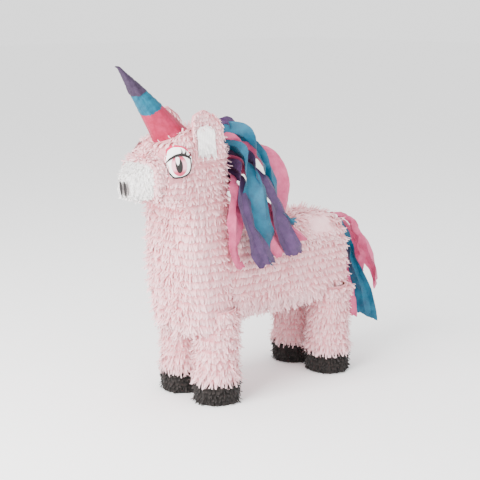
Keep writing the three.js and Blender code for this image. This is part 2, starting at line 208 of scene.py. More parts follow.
def tissue(name, root_shade, mid, tip, roughness=0.85, thin=0.28):
    """Fringed tissue: painted shade makes the root of each strip deeper in colour and a painted highlight
    makes its tip paler, each strip a little different.
    """
    t = Tree(name)
    along = t.attribute("tip")
    tint = t.attribute("tint")
    fine = t.noise(900, 3, 0.6)
    broad = t.noise(28, 3, 0.5)
    # painted shade at each strip's root, painted highlight at its tip
    c = t.ramp(along, (0.0, root_shade), (0.45, mid), (1.0, tip))
    c = t.mix(t.math("MULTIPLY", tint, 0.32), c, mid)
    shade = t.ramp(t.math("ADD", t.math("MULTIPLY", tint, 0.55), t.math("MULTIPLY", broad, 0.45)),
                   (0.15, 0.88), (0.75, 1.0))
    c = t.mix(1.0, c, shade, "MULTIPLY")
    c = t.mix(1.0, c, t.ramp(fine, (0.3, 0.94), (0.7, 1.0)), "MULTIPLY")
    t.bump(t.noise(420, 4, 0.7, stretch=(1, 1, 0.35)), 0.35, 0.0006)
    return t.done(c, t.math("ADD", t.math("MULTIPLY", fine, 0.1), roughness - 0.05), 0.15, 0.2, thin)


def crepe(name, dark, light, roughness=0.55):
    """Crumpled crepe paper: fine grain along the strip, soft folds, and a painted highlight that makes the
    steep faces of the folds paler.
    """
    t = Tree(name)
    grain = t.noise(700, 4, 0.65, vector=t.node("ShaderNodeTexCoord").outputs["UV"], stretch=(0.03, 0.004, 1))
    folds = t.noise(60, 5, 0.6)
    fold_highlight = t.attribute("fold_highlight")
    c = t.mix(t.ramp(folds, (0.3, 0.0), (0.72, 1.0)), dark, light)
    # painted highlight: paler where the strip's folds stand steep
    c = t.mix(t.math("MULTIPLY", fold_highlight, 0.35), c, light)
    t.bump(t.math("ADD", t.math("MULTIPLY", grain, 0.5), t.noise(160, 5, 0.6)), 0.45, 0.0012)
    return t.done(c, t.math("ADD", t.math("MULTIPLY", folds, 0.2), roughness - 0.1), 0.1, 0.4, 0.22)


def plain_paper(name, dark, light, roughness=0.5, scale=120, bump=0.25):
    t = Tree(name)
    n = t.noise(scale, 5, 0.6)
    c = t.mix(t.ramp(n, (0.3, 0.0), (0.7, 1.0)), dark, light)
    t.bump(t.math("ADD", n, t.math("MULTIPLY", t.noise(scale * 9, 3, 0.6), 0.25)), bump, 0.0012)
    return t.done(c, t.math("ADD", t.math("MULTIPLY", n, 0.2), roughness - 0.1), 0.0, 0.25)


def cardboard(name):
    t = Tree(name)
    fibres = t.noise(500, 5, 0.7, stretch=(1, 0.15, 1))
    flecks = t.ramp(t.noise(1800, 2, 0.5), (0.62, 0.0), (0.72, 1.0))
    n = t.node("ShaderNodeTexWave", wave_type="BANDS", bands_direction="Z")
    n.inputs["Scale"].default_value = 45
    n.inputs["Distortion"].default_value = 0.6
    t.link(t.coords(), n.inputs["Vector"])
    c = t.mix(t.ramp(fibres, (0.25, 0.0), (0.75, 1.0)), (0.36, 0.25, 0.15), (0.53, 0.39, 0.25))
    c = t.mix(t.math("MULTIPLY", flecks, 0.4), c, (0.2, 0.13, 0.08))
    t.bump(t.math("ADD", n.outputs["Fac"], t.math("MULTIPLY", fibres, 0.4)), 0.25, 0.0008)
    return t.done(c, t.math("ADD", t.math("MULTIPLY", fibres, 0.1), 0.8), 0.0, 0.2)


def iris(name):
    """Printed iris: strong at the top and bottom, pale at the sides."""
    t = Tree(name)
    c = t.ramp(t.attribute("tip"), (0.0, (0.78, 0.36, 0.44)), (0.32, (0.80, 0.36, 0.45)),
               (0.66, (0.46, 0.006, 0.06)))
    n = t.noise(60, 3, 0.5)
    c = t.mix(t.math("MULTIPLY", n, 0.12), c, (0.9, 0.75, 0.8))
    t.bump(n, 0.05)
    return t.done(c, t.math("ADD", t.math("MULTIPLY", n, 0.1), 0.3), 0.0, 0.4)


def pasted(node):
    """Kraft cardboard with tissue pasted on its outer face; the inside stays bare."""
    t = Tree(f"pasted_card_{node}")
    mid = centre(node)
    away = t.node("ShaderNodeVectorMath", operation="SUBTRACT")
    t.link(t.coords(), away.inputs[0])
    away.inputs[1].default_value = mid
    dot = t.node("ShaderNodeVectorMath", operation="DOT_PRODUCT")
    t.link(away.outputs[0], dot.inputs[0])
    t.link(t.node("ShaderNodeNewGeometry").outputs["True Normal"], dot.inputs[1])
    outer = t.math("GREATER_THAN", dot.outputs["Value"], 0.0)
    fibres = t.noise(500, 5, 0.7, stretch=(1, 0.15, 1))
    kraft = t.mix(t.ramp(fibres, (0.25, 0.0), (0.75, 1.0)), (0.36, 0.25, 0.15), (0.53, 0.39, 0.25))
    paste = t.mix(t.noise(120, 4, 0.6), (0.80, 0.38, 0.42), (0.90, 0.56, 0.59))
    t.bump(fibres, 0.25, 0.0008)
    return t.done(t.mix(outer, kraft, paste), t.math("ADD", t.math("MULTIPLY", fibres, 0.1), 0.8), 0.0, 0.2)


M = {
    # each tissue's first colour is the painted shade at the strip roots, its last the painted highlight at
    # the tips
    "pink": tissue("pink_tissue", (0.84, 0.32, 0.37), (0.93, 0.575, 0.605), (0.975, 0.75, 0.77)),
    "white": tissue("white_tissue", (0.80, 0.76, 0.75), (0.91, 0.895, 0.885), (0.96, 0.955, 0.945)),
    "black": tissue("black_tissue", (0.003, 0.0025, 0.002), (0.011, 0.0085, 0.008), (0.027, 0.022, 0.020),
                    0.8, 0.0),
    "mane_pink": crepe("pink_crepe", (0.425, 0.0385, 0.12), (0.684, 0.128, 0.264)),
    "mane_turquoise": crepe("turquoise_crepe", (0.0005, 0.05, 0.105), (0.002, 0.126, 0.211)),
    "mane_purple": crepe("purple_crepe", (0.0279, 0.0108, 0.051), (0.0864, 0.0384, 0.124)),
    "horn_pink": plain_paper("horn_pink_paper", (0.25, 0.0075, 0.034), (0.35, 0.0195, 0.068)),
    "horn_turquoise": plain_paper("horn_turquoise_paper", (0, 0.058, 0.106), (0, 0.112, 0.18)),
    "horn_purple": plain_paper("horn_purple_paper", (0.0201, 0.00952, 0.0269), (0.0446, 0.0269, 0.0586), 0.6),
    "smooth_pink": plain_paper("cover_tissue", (0.78, 0.44, 0.47), (0.88, 0.58, 0.60), 0.8, 90, 0.6),
    "smooth_white": plain_paper("patch_tissue", (0.86, 0.83, 0.82), (0.95, 0.94, 0.93), 0.8, 110, 0.3),
    "print_white": plain_paper("sticker_white", (0.86, 0.86, 0.86), (0.91, 0.91, 0.91), 0.35, 60, 0.05),
    "print_black": plain_paper("sticker_black", (0.012, 0.010, 0.010), (0.022, 0.018, 0.018), 0.35, 60, 0.05),
    "print_grey": plain_paper("sticker_grey", (0.012, 0.010, 0.010), (0.028, 0.024, 0.024), 0.35, 60, 0.05),
    "print_magenta": plain_paper("sticker_magenta", (0.46, 0.006, 0.055), (0.54, 0.012, 0.085),
                                 0.35, 60, 0.05),
    "card": cardboard("kraft_card"),
    "iris": iris("sticker_iris"),
}


def floor_and_light():
    t = Tree("floor")
    grain = t.noise(30, 3, 0.5)
    c = t.mix(grain, (0.96, 0.96, 0.96), (0.98, 0.98, 0.98))
    t.bump(t.noise(300, 3, 0.5), 0.02, 0.001)
    me = bpy.data.meshes.new("floor")
    s = 14.0
    me.from_pydata([(-s, -s, 0), (s, -s, 0), (s, s, 0), (-s, s, 0)], [], [(0, 1, 2, 3)])
    floor = bpy.data.objects.new("floor", me)
    floor.location = (MID.x, MID.y, -0.0002)
    bpy.context.collection.objects.link(floor)
    me.materials.append(t.done(c, 0.9, 0.0, 0.1))
    world = bpy.data.worlds.new("studio")
    bpy.context.scene.world = world
    world.use_nodes = True
    bg = world.node_tree.nodes["Background"]
    bg.inputs[0].default_value = (1.0, 1.0, 1.0, 1)
    bg.inputs[1].default_value = 1.75
    lights = [("key", (250, -1750, 1050), 1.3, 105, (1.0, 0.985, 0.97)),
              ("fill", (1900, -500, 900), 1.8, 16, (1.0, 1.0, 1.0)),
              ("top", (-300, 0, 1900), 1.8, 14, (1.0, 1.0, 1.0))]
    for name, place, size, power, colour in lights:
        data = bpy.data.lights.new(name, "AREA")
        data.size, data.energy, data.color = size, power, colour
        o = bpy.data.objects.new(name, data)
        o.location = at(*place)
        look_at(o, at(0, -20, 260))
        bpy.context.collection.objects.link(o)


floor_and_light()


# ---------------------------------------------------------------- meshes
def make(name, co, faces, mat, body, replaces=(), attributes=None, smooth=True, uv=None, sharp=0):
    me = bpy.data.meshes.new(name)
    me.from_pydata([tuple(v) for v in co], [], [tuple(f) for f in faces])
    me.update()
    if smooth:
        me.shade_smooth()
    for key, values in (attributes or {}).items():
        a = me.attributes.new(key, "FLOAT", "POINT")
        a.data.foreach_set("value", np.asarray(values, np.float32))
    if uv is not None:
        layer = me.uv_layers.new(name="UVMap")
        loops = np.zeros(len(me.loops), np.int32)
        me.loops.foreach_get("vertex_index", loops)
        layer.data.foreach_set("uv", np.asarray(uv, np.float32)[loops].ravel())
    if sharp:
        me.set_sharp_from_angle(angle=math.radians(sharp))
    me.materials.append(M[mat])
    o = bpy.data.objects.new(name, me)
    bpy.context.collection.objects.link(o)
    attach(o, body)
    if replaces:
        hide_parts(*replaces)
    return o


def polygons(node):
    me = NODES[node].data
    co = np.zeros(len(me.vertices) * 3)
    me.vertices.foreach_get("co", co)
    return co.reshape(-1, 3), [tuple(p.vertices) for p in me.polygons]


FRINGED = (["torso_fringe", "neck_fringe", "head_fringe", "muzzle_fringe"]
           + [f"leg_fringe_{s}" for s in LEGS] + ["ear_fringe_left", "ear_fringe_right"])


class Surface:
    """Rays onto a set of CAD nodes, with the node that each one meets."""

    def __init__(self, nodes):
        co, faces, owner = [], [], []
        base = 0
        for n in nodes:
            c, f = polygons(n)
            co.extend(Vector(v) for v in c)
            faces.extend(tuple(i + base for i in p) for p in f)
            owner.extend([n] * len(f))
            base += len(c)
        self.tree, self.owner = BVHTree.FromPolygons(co, faces), owner

    def hit(self, origin, direction, reach=450):
        """First surface met from reach away, looking back at the origin: (point in mm, normal, node)."""
        d = Vector(direction).normalized()
        start = at(*origin) + d * reach * MM
        loc, normal, index, _ = self.tree.ray_cast(start, -d)
        if loc is None:
            return None
        normal = normal if normal.dot(d) > 0 else -normal
        return mm(loc), np.array(normal), self.owner[index]


SKIN = Surface(FRINGED + ["flap_cover", "horn_wrap_pink"] + [f"hoof_wrap_{s}" for s in LEGS])


def walk(rays, nodes, reach=450):
    """Casts rays along a row and returns the runs of points that lie on the given nodes."""
    runs, run = [], []
    for origin, direction in rays:
        h = SKIN.hit(origin, direction, reach)
        if h and h[2] in nodes and (not run or np.linalg.norm(h[0] - run[-1][0]) < 22):
            run.append(h[:2])
        else:
            if len(run) > 1:
                runs.append(run)
            run = [h[:2]] if h and h[2] in nodes else []
    if len(run) > 1:
        runs.append(run)
    return runs


def spaced(run, pitch, mess):
    """Points a pitch apart along a run, each moved a little at random."""
    p = np.array([a for a, _ in run])
    n = np.array([b for _, b in run])
    s = run_length(p)
    if s[-1] < pitch:
        return np.zeros((0, 3)), np.zeros((0, 3))
    t = np.arange(pitch * rng.random(), s[-1], pitch)
    t = np.clip(t + rng.normal(0, pitch * 0.16 * mess, len(t)), 0, s[-1])
    pick = lambda a: np.stack([np.interp(t, s, a[:, i]) for i in range(3)], 1)
    nn = pick(n)
    return pick(p), nn / np.linalg.norm(nn, axis=1, keepdims=True)


def unit(v):
    return v / np.maximum(np.linalg.norm(v, axis=-1, keepdims=True), 1e-9)


def strips(p, n, down, length, width, flare, curl, depth, mess, steps=4, droop=0.0):
    """Cut tissue strips. Each starts depth below the surface, leans out by flare, then curls back in.
    mess scales how unlike its neighbours each one is, and how many curl outwards instead."""
    k = len(p)
    side = unit(np.cross(down, n))
    down = unit(down + side * rng.normal(0, 0.11 * mess, (k, 1)))
    side = unit(np.cross(down, n))
    length = length * (1 + rng.normal(0, 0.08 * mess, (k, 1)))
    width = width * (1 + rng.normal(0, 0.12, (k, 1)))
    flare = flare + rng.normal(0, 0.08 * mess, (k, 1))
    out = rng.random((k, 1)) < 0.13 * mess
    curl = np.where(out, rng.normal(0.5, 0.3, (k, 1)), -curl * (1 + rng.normal(0, 0.3 * mess, (k, 1))))
    twist = rng.normal(0, 0.4 * mess, (k, 1))
    roll = rng.normal(0, 0.12 * mess, (k, 1))
    c = p - n * depth
    co, tips = [], []
    for j in range(steps + 1):
        s = j / steps
        if j:
            a = flare + curl * (j - 0.5) / steps
            c = c + (down * np.cos(a) + n * np.sin(a) + side * roll * s) * (length / steps)
            c[:, 2] -= (droop * s * length / steps)[:, 0] if droop else 0
        tau = twist * s
        across = side * np.cos(tau) + n * np.sin(tau)
        w = width * (1 - 0.3 * s ** 3)
        co.append(np.stack([c - across * w / 2, c + across * w / 2], 1))
        tips.append(np.full((k, 2), s))
    co = np.stack(co, 1).reshape(k, -1, 3)
    co[..., 2] = np.maximum(co[..., 2], 0.8)
    m = 2 * (steps + 1)
    quad = np.array([[2 * j, 2 * j + 1, 2 * j + 3, 2 * j + 2] for j in range(steps)])
    faces = (quad[None] + (np.arange(k) * m)[:, None, None]).reshape(-1, 4)
    tint = np.repeat(rng.random(k), m)
    tip = np.stack(tips, 1).reshape(k, -1).ravel()
    return co.reshape(-1, 3), faces, tip, tint


def down_along(n, p, middle):
    """Down the surface; on a level surface, outwards from the middle."""
    out = p - middle
    out[:, 2] = 0
    want = np.array([0, 0, -1.0]) + 0.5 * unit(out)
    low = n[:, 2:3] < -0.6
    want = np.where(low, unit(out) + np.array([0, 0, -0.2]), want)
    d = want - n * (want * n).sum(1, keepdims=True)
    return unit(d)


def underlay(node, sink):
    """The tissue backing under the strips: the CAD skin's open faces, sunk a little."""
    c, _ = polygons(node)
    around = Surface([n for n in NODES if n != node and n not in LOOSE]).tree
    keep = [f for f in NODES[node].data.polygons
            if (around.ray_cast(f.center + f.normal * 0.0001, f.normal)[3] or 1) > 0.001]
    key = {}
    group = np.array([key.setdefault(tuple(v), len(key)) for v in np.round(c * 1e5).astype(int)])
    total = np.zeros((len(key), 3))
    for f in keep:
        for i in f.vertices:
            total[group[i]] += np.array(f.normal) * f.area
    return c - unit(total[group]) * sink * MM, [tuple(f.vertices) for f in keep]


LOOSE = {n for n in NODES if n.startswith(("mane_", "tail_", "eye_", "nostril_", "ear_patch_"))}


class Fringe:
    """Collects the strips of one piece and makes its mesh."""

    def __init__(self, name, node, mat="pink", sink=3.6, body="pinata", clear=()):
        self.name, self.node, self.mat, self.body, self.clear = name, node, mat, body, clear
        self.co, self.faces, self.tip, self.tint, self.base = [], [], [], [], 0
        co, faces = underlay(node, sink)
        # the backing takes a tip value near the root, so it carries the tissue's painted shade between the
        # strips
        self.put((co - np.array(MID)) / MM, faces, np.full(len(co), 0.10), np.full(len(co), 0.4))

    def put(self, co, faces, tip, tint):
        self.co.append(co)
        self.faces.extend(tuple(int(i) + self.base for i in f) for f in faces)
        self.tip.append(tip)
        self.tint.append(tint)
        self.base += len(co)

    def row(self, rays, middle, pitch=2.9, length=14.5, width=3.1, flare=0.6, curl=1.25, depth=3.6,
            layers=2, mess=0.8, droop=0.0, reach=450, on=None):
        for run in walk(rays, {on or self.node}, reach):
            for layer in range(layers):
                p, n = spaced(run, pitch, mess)
                for test in self.clear:
                    ok = test(p) if len(p) else []
                    p, n = p[ok], n[ok]
                if not len(p):
                    continue
                d = down_along(n, p.copy(), np.array(middle, float))
                self.put(*strips(p + d * 1.2 * layer, n, d, length - 1.5 * layer, width, flare, curl,
                                 depth + 0.3 * layer, mess, droop=droop))

    def make(self):
        co = np.concatenate(self.co) * MM + np.array(MID)
        return make(self.name, co, self.faces, self.mat, self.body, [self.node],
                    {"tip": np.concatenate(self.tip), "tint": np.concatenate(self.tint)}, smooth=False)


def round_rays(cx, cy, z, elevation=0, ring=0, stretch=1.0, start=0, end=360, step=3):
    e = math.radians(elevation)
    for a in np.arange(start, end + 0.1, step):
        c, s = compass(a)
        yield ((cx + ring * c, cy + ring * s * stretch, z),
               (c * math.cos(e), s * math.cos(e), math.sin(e)))


def stadium_rays(y0, y1, z, elevation=0, ring=0, step=6):
    """Down the left flank, round the rump, and back up the right flank."""
    e = math.radians(elevation)
    for y in np.arange(y0, y1, step):
        yield (ring, y, z), (math.cos(e), 0, math.sin(e))
    for a in np.arange(0, 180.1, 4):
        c, s = compass(a)
        yield (ring * c, y1 + ring * s, z), (c * math.cos(e), s * math.cos(e), math.sin(e))
    for y in np.arange(y1, y0, -step):
        yield (-ring, y, z), (-math.cos(e), 0, math.sin(e))


lo, hi = box_mm("torso_fringe")
FLANK, RUMP, BACK, UNDER = (hi[0] - lo[0]) / 2, hi[1], hi[2], lo[2]
NECK_LO, NECK_HI = box_mm("neck_fringe")
HEAD_LO, HEAD_HI = box_mm("head_fringe")
MUZZLE_LO, MUZZLE_HI = box_mm("muzzle_fringe")
EYE_Y, EYE_Z = mm(centre("eye_sticker_left"))[1:]
PITCH = 12.6


def seam_rays(z, sx):
    """Across the inside corner where the back of the neck meets the torso."""
    for a in range(-70, 45, 6):
        c, s = compass(a)
        yield (sx * 60, NECK_HI[1] + 1, z), (sx * c, s, 0)


def torso():
    f = Fringe("torso_tissue", "torso_fringe")
    y0, y1 = NECK_HI[1] - 8, RUMP - FLANK
    mid = (0, (y0 + y1) / 2, 200)
    for z in np.arange(UNDER + 42, BACK - 36, PITCH):
        f.row(stadium_rays(y0, y1, z), mid, mess=1.6 if z < UNDER + 62 else 1.0)
        for sx in (1, -1):
            f.row(seam_rays(z, sx), mid, reach=30)
    for e in (12, 32, 52, 70):
        f.row(stadium_rays(y0, y1, BACK - 38, e, FLANK - 38), mid)
    for ring in (FLANK - 46, FLANK - 60, 6):
        f.row(stadium_rays(y0, y1, BACK - 20, 89, ring), mid, length=13, flare=0.4, mess=1.0)
    for e in (-5, -15, -27, -40, -52, -62):
        f.row(stadium_rays(y0, y1, UNDER + 38, e, FLANK - 38), mid, length=16, droop=0.3)
    for ring in (FLANK - 44, FLANK - 58, 5):
        f.row(stadium_rays(y0, y1, UNDER + 20, -89, ring), mid, flare=0.8, length=12, layers=1)
    return f.make()


def neck():
    f = Fringe("neck_tissue", "neck_fringe")
    cy = (NECK_LO[1] + NECK_HI[1]) / 2 - 4
    for z in np.arange(NECK_LO[2] + 22, NECK_HI[2] + 3, PITCH):
        level = min(z, NECK_HI[2] - 1)
        f.row(round_rays(0, cy, level, start=-150, end=-30), (0, cy, 220), flare=0.75, depth=2.6, mess=1.2)
        f.row(round_rays(0, cy, level, start=-32, end=212), (0, cy, 220))
        for sx in (1, -1):
            f.row(seam_rays(level, sx), (0, cy, 220), reach=30)
    for e in (-20, -45, -68):
        f.row(round_rays(0, cy, NECK_LO[2] + 30, e, 24, 0.8), (0, cy, 220), length=16, droop=0.3)
    for ring in (30, 16):
        f.row(round_rays(0, cy, NECK_LO[2] + 10, -89, ring, 0.8), (0, cy, 220), flare=0.9, length=12,
              layers=1)
    return f.make()


def head():
    f = Fringe("head_tissue", "head_fringe", clear=[off_eye])
    cy = (HEAD_LO[1] + HEAD_HI[1]) / 2
    mid = (0, cy + 8, 400)
    opts = dict(length=12.5, pitch=2.9, width=3.0, mess=1.35)
    for z in np.arange(HEAD_LO[2] + 8, HEAD_HI[2] - 26, 9.6):
        f.row(round_rays(0, cy, z), mid, **opts)
    for e in (12, 28, 44, 60, 74):
        f.row(round_rays(0, cy + 4, HEAD_HI[2] - 34, e, 18, 1.4), mid, **opts)
    for ring in (30, 20, 10):
        f.row(round_rays(0, cy + 8, HEAD_HI[2] - 12, 89, ring, 1.5), mid, **opts)
    for y in np.arange(HEAD_LO[1] + 6, HEAD_LO[1] + 46, 9):
        rays = [((x, y, HEAD_LO[2] + 16), (0, -0.2, -1)) for x in range(-56, 57, 4)]
        f.row(rays, (0, -120, 400), **{**opts, "length": 9, "flare": 0.8, "layers": 1})
    # the head's last strips lie over the back edge of the muzzle
    f.clear = [lambda p: ~white_part(p)]
    cy = MUZZLE_HI[1] - 18
    over = dict(on="muzzle_fringe", length=11, pitch=2.3, width=3.0, depth=1.6, flare=0.5, curl=1.1, mess=1.3)
    for z in np.arange(MUZZLE_LO[2] + 4, MUZZLE_HI[2] - 4, 6.5):
        f.row(round_rays(0, cy + 6, z, start=180, end=360, step=3), (0, cy, 400), **over)
        for sx in (1, -1):
            f.row([((0, y, z), (sx, 0, 0)) for y in np.arange(MUZZLE_LO[1] + 20, MUZZLE_HI[1] + 1, 2.5)],
                  (0, cy, 400), **over)
    for y in np.arange(MUZZLE_LO[1] + 4, MUZZLE_HI[1] + 1, 7):
        f.row([((x, y, MUZZLE_HI[2] - 30), (0, -0.2, 1)) for x in range(-46, 47, 3)], (0, cy, 400), **over)
    return f.make()


def off_eye(p):
    """Clear of the eyes; the far one's clear area is smaller and set back."""
    size = np.where(p[:, 0] > 0, 1.0, 0.72)
    back = np.where(p[:, 0] > 0, 0.0, 3.0)
    return ((((p[:, 1] - EYE_Y - back) / 23) ** 2 + ((p[:, 2] - EYE_Z - 2) / 26) ** 2 > size ** 2)
            | (np.abs(p[:, 0]) < 20))


def white_part(p):
    """The front of the muzzle; the rest of it has the head's pink strips."""
    return (p[:, 1] < MUZZLE_LO[1] + WHITE_LONG) & (p[:, 2] < MUZZLE_HI[2] - WHITE_DROP)


WHITE_LONG, WHITE_DROP = 27, 12  # from the front of the muzzle back, and down from its top


def off_nostrils(p):
    away = ((np.abs(p[:, 0]) - NOSTRIL_X) / 5.5) ** 2 + ((p[:, 2] - NOSE_Z - 2) / 14) ** 2 > 1
    return away | (p[:, 1] > MUZZLE_LO[1] + 12)


NOSE_Z = mm(centre("nostril_sticker_left"))[2]
NOSTRIL_X = 5.4


def muzzle():
    f = Fringe("muzzle_tissue", "muzzle_fringe", "white", 2.6, clear=[off_nostrils, white_part])
    cy = MUZZLE_HI[1] - 18
    mid = (0, cy + 10, 380)
    opts = dict(length=8.5, pitch=2.3, width=2.6, depth=2.6, flare=0.42, curl=1.0, mess=1.1)
    for z in np.arange(MUZZLE_LO[2] + 6, MUZZLE_HI[2] - 8, 6.4):
        f.row(round_rays(0, cy, z, start=180, end=360, step=3), mid, **opts)
    for y in np.arange(MUZZLE_LO[1] + 4, MUZZLE_HI[1], 6.4):
        f.row([((x, y, MUZZLE_HI[2] - 30), (0, -0.3, 1)) for x in range(-46, 47, 3)], mid, **opts)
        f.row([((x, y, MUZZLE_LO[2] + 10), (0, -0.2, -1)) for x in range(-46, 47, 3)], mid,
              **{**opts, "flare": 0.7, "length": 6.5})
    o = f.make()
    o.data.materials.append(M["pink"])
    for face in o.data.polygons:
        face.material_index = int(not white_part(mm(face.center)[None])[0])
    return o


def legs():
    for s in LEGS:
        x, y = LEG_AT[s].x, LEG_AT[s].y
        node = f"leg_fringe_{s}"
        low, high = box_mm(node)
        f = Fringe(f"leg_tissue_{s}", node)
        for i, z in enumerate(np.arange(low[2] + 8, high[2] + 1, 9.6)):
            f.row(round_rays(x, y, min(z, high[2] - 1), step=6), (x, y, 90), length=16 if i < 2 else 13,
                  flare=0.66, curl=0.7 if i < 2 else 1.4, mess=1.7, depth=4.2, reach=43.5)
        for ring, up in ((31, 0.94), (35, 0.8), (36, 0.66), (37, 0.5), (38, 0.3)):
            out = math.sqrt(1 - up * up)
            rays = [((x + ring * c, y + ring * q, high[2] - 6), (out * c, out * q, up))
                    for c, q in map(compass, range(0, 361, 5))]
            f.row(rays, (x, y, 90), length=15, flare=0.5, mess=1.2, reach=20)
        f.make()
        node = f"hoof_wrap_{s}"
        low, high = box_mm(node)
        f = Fringe(f"hoof_tissue_{s}", node, "black", 1.6)
        for z in np.arange(low[2] + 9, high[2] + 1, 6.8):
            f.row(round_rays(x, y, min(z, high[2] - 0.6), step=6), (x, y, 20), pitch=3.4, width=4.2,
                  length=10, depth=1.8, flare=0.5, curl=0.9, mess=1.7, reach=43.5)
        f.make()


def patch_test(low, high, sx):
    """Keeps strips off the smooth patch on the ear's outer face."""
    def test(p):
        inside = ((np.abs(p[:, 1] - (low[1] + high[1]) / 2) < (high[1] - low[1]) / 2 - 2)
                  & (np.abs(p[:, 2] - (low[2] + high[2]) / 2) < (high[2] - low[2]) / 2 - 2))
        return ~(inside & (p[:, 0] * sx > (low[0] + high[0]) / 2 * sx - 3))
    return test


def ears():
    for side, sx in (("left", 1), ("right", -1)):
        node = f"ear_fringe_{side}"
        low, high = box_mm(node)
        plow, phigh = box_mm(f"ear_patch_{side}")
        f = Fringe(f"ear_tissue_{side}", node, "pink", 1.6, clear=[patch_test(plow, phigh, sx)])
        mid = (0, (low[1] + high[1]) / 2, 300)
        opts = dict(length=10.5, pitch=2.5, width=2.8, depth=1.6, curl=0.8, flare=0.45, mess=1.2)
        for z in np.arange(low[2] + 9, high[2] + 1, 7.5):
            for d in (1, -1):
                x = (low[0] + high[0]) / 2
                rays = [((x, y, z), (d, 0, 0)) for y in np.arange(low[1], high[1] + 0.1, 2.5)]
                f.row(rays, mid, reach=30, **opts)
        rim = [(((low[0] + high[0]) / 2, (low[1] + high[1]) / 2, low[2] + 38),
                (0, *compass(a))) for a in range(-10, 191, 5)]
        f.row(rim, mid, **{**opts, "length": 8, "depth": 0.8})
        f.make()
        patch(side, sx, plow, phigh)


def patch(side, sx, low, high):
    """White tissue glued inside the ear, with its lower edge cut into strips."""
    skin = Surface([f"ear_patch_{side}", f"ear_fringe_{side}", f"ear_card_{side}"])
    n, m = 22, 26
    co = []
    for i in range(m):
        v = i / (m - 1)
        half = (high[1] - low[1]) / 2 * (0.92 if v < 0.75 else 0.92 - 0.35 * ((v - 0.75) / 0.25) ** 2)
        for j in range(n):
            u = 2 * j / (n - 1) - 1
            y = (low[1] + high[1]) / 2 + u * half + 0.7 * math.sin(9 * v + 2 * u)
            z = (low[2] + 5 + v * (high[2] - low[2] - 5) - 1.5 * u * u * (v > 0.9)
                 + 0.8 * math.sin(5 * u + (side == "left")))
            h = skin.hit(((low[0] + high[0]) / 2, y, z), (sx, 0, 0), 30)
            x = h[0][0] if h else (low[0] + high[0]) / 2
            lift = 1.2 + 0.5 * math.sin(14 * v + 5 * u) + 0.4 * math.sin(23 * u - 9 * v) + rng.normal(0, 0.08)
            co.append(at(x + sx * lift, y, z))
    o = make(f"ear_patch_tissue_{side}", co, grid_faces(m, n), "smooth_white", "pinata",
             [f"ear_patch_{side}"])
    p = []
    for row in (0, 7, 14):
        for y in np.arange(low[1] + 2.5, high[1] - 1.5, 2.6):
            p.append((y + rng.normal(0, 0.5), low[2] + 8 + row + rng.normal(0, 0.8)))
    pts, nrm = [], []
    for y, z in p:
        h = skin.hit(((low[0] + high[0]) / 2, y, z), (sx, 0, 0), 30)
        if h:
            pts.append(h[0] + (sx * 0.8, 0, 0))
            nrm.append((sx, 0, 0))
    pts, nrm = np.array(pts), np.array(nrm, float)
    c, f, tip, tint = strips(pts, nrm, np.tile([0, 0, -1.0], (len(pts), 1)), 11, 2.8, 0.35, 0.6, 0, 1.4)
    # these strips take only the paler half of the tissue ramp, so less painted shade at their roots
    make(f"ear_patch_fringe_{side}", c * MM + np.array(MID), f, "white", "pinata",
         attributes={"tip": tip * 0.5 + 0.5, "tint": tint}, smooth=False)


# ---------------------------------------------------------------- stickers
NEAR_FIT = 0.91  # the eye's length as it lies round the head's corner
FAR_FIT_BACK, FAR_FIT_FRONT, FAR_SHIFT = 0.84, 0.7, 1.5  # the far eye, made shorter towards the front
PAPER_LIFT, FRONT_SINK, FRONT_LONG = 1.9, 0.7, 23


def on_side(side):
    """Maps sticker millimetres, first towards the tail and second up, along the curved side of the head."""
    sx = 1 if side == "left" else -1
    skin = Surface(["head_fringe"])
    sections = {}

    def section(v):
        """Places along the head's side at that height, with their distance from the sticker's middle."""
        key = round(v)
        if key not in sections:
            p = []
            for a in range(20, -91, -4):
                h = skin.hit((sx * 18, EYE_Y + 12, EYE_Z + key),
                             (sx * compass(a)[0], compass(a)[1], 0))
                if not h or p and np.linalg.norm(h[0] - p[-1][0]) > 14:
                    break
                p.append((h[0], h[1]))
            q = np.array([x for x, _ in p])
            s = run_length(q)
            mid = np.interp(-EYE_Y, -q[:, 1], s)
            sections[key] = (mid - s)[::-1], q[::-1], np.array([n for _, n in p])[::-1]
        return sections[key]

    def place(u, v, lift):
        u = u * NEAR_FIT if side == "left" else FAR_SHIFT + u * (FAR_FIT_BACK if u > 0 else FAR_FIT_FRONT)
        sunk = 1 - FRONT_SINK * min(1, max(0, -u) / FRONT_LONG) ** 2
        lo, f = math.floor(v), v - math.floor(v)
        out = np.zeros(3)
        for key, w in ((lo, 1 - f), (lo + 1, f)):
            s, q, n = section(key)
            out += w * np.array([np.interp(u, s, q[:, i] + n[:, i] * (PAPER_LIFT + lift) * sunk)
                                 for i in range(3)])
        out[2] = EYE_Z + v
        return at(*out)
    return place


def on_muzzle(u, v, lift):
    h = NOSE.hit((u, -200, NOSE_Z + v), (0, -1, 0))
    y = h[0][1] - (0 if h[2].startswith("nostril") else 1.2)
    return at(u, y - 2.0 - lift, NOSE_Z + v)


NOSE = Surface(["nostril_sticker_left", "nostril_sticker_right", "muzzle_fringe"])


def smooth_line(points, count, closed=False):
    """A smooth line through the points."""
    p = np.array(points, float)
    p = np.vstack([p[-1:], p, p[:2]]) if closed else np.vstack([2 * p[0] - p[1], p, 2 * p[-1] - p[-2]])
    seg = len(p) - 3
    t = np.linspace(0, seg, count, endpoint=not closed)
    i = np.minimum(t.astype(int), seg - 1)
    f = (t - i)[:, None]
    a, b, c, d = p[i], p[i + 1], p[i + 2], p[i + 3]
    return 0.5 * (2 * b + (c - a) * f + (2 * a - 5 * b + 4 * c - d) * f ** 2
                  + (3 * b - a - 3 * c + d) * f ** 3)


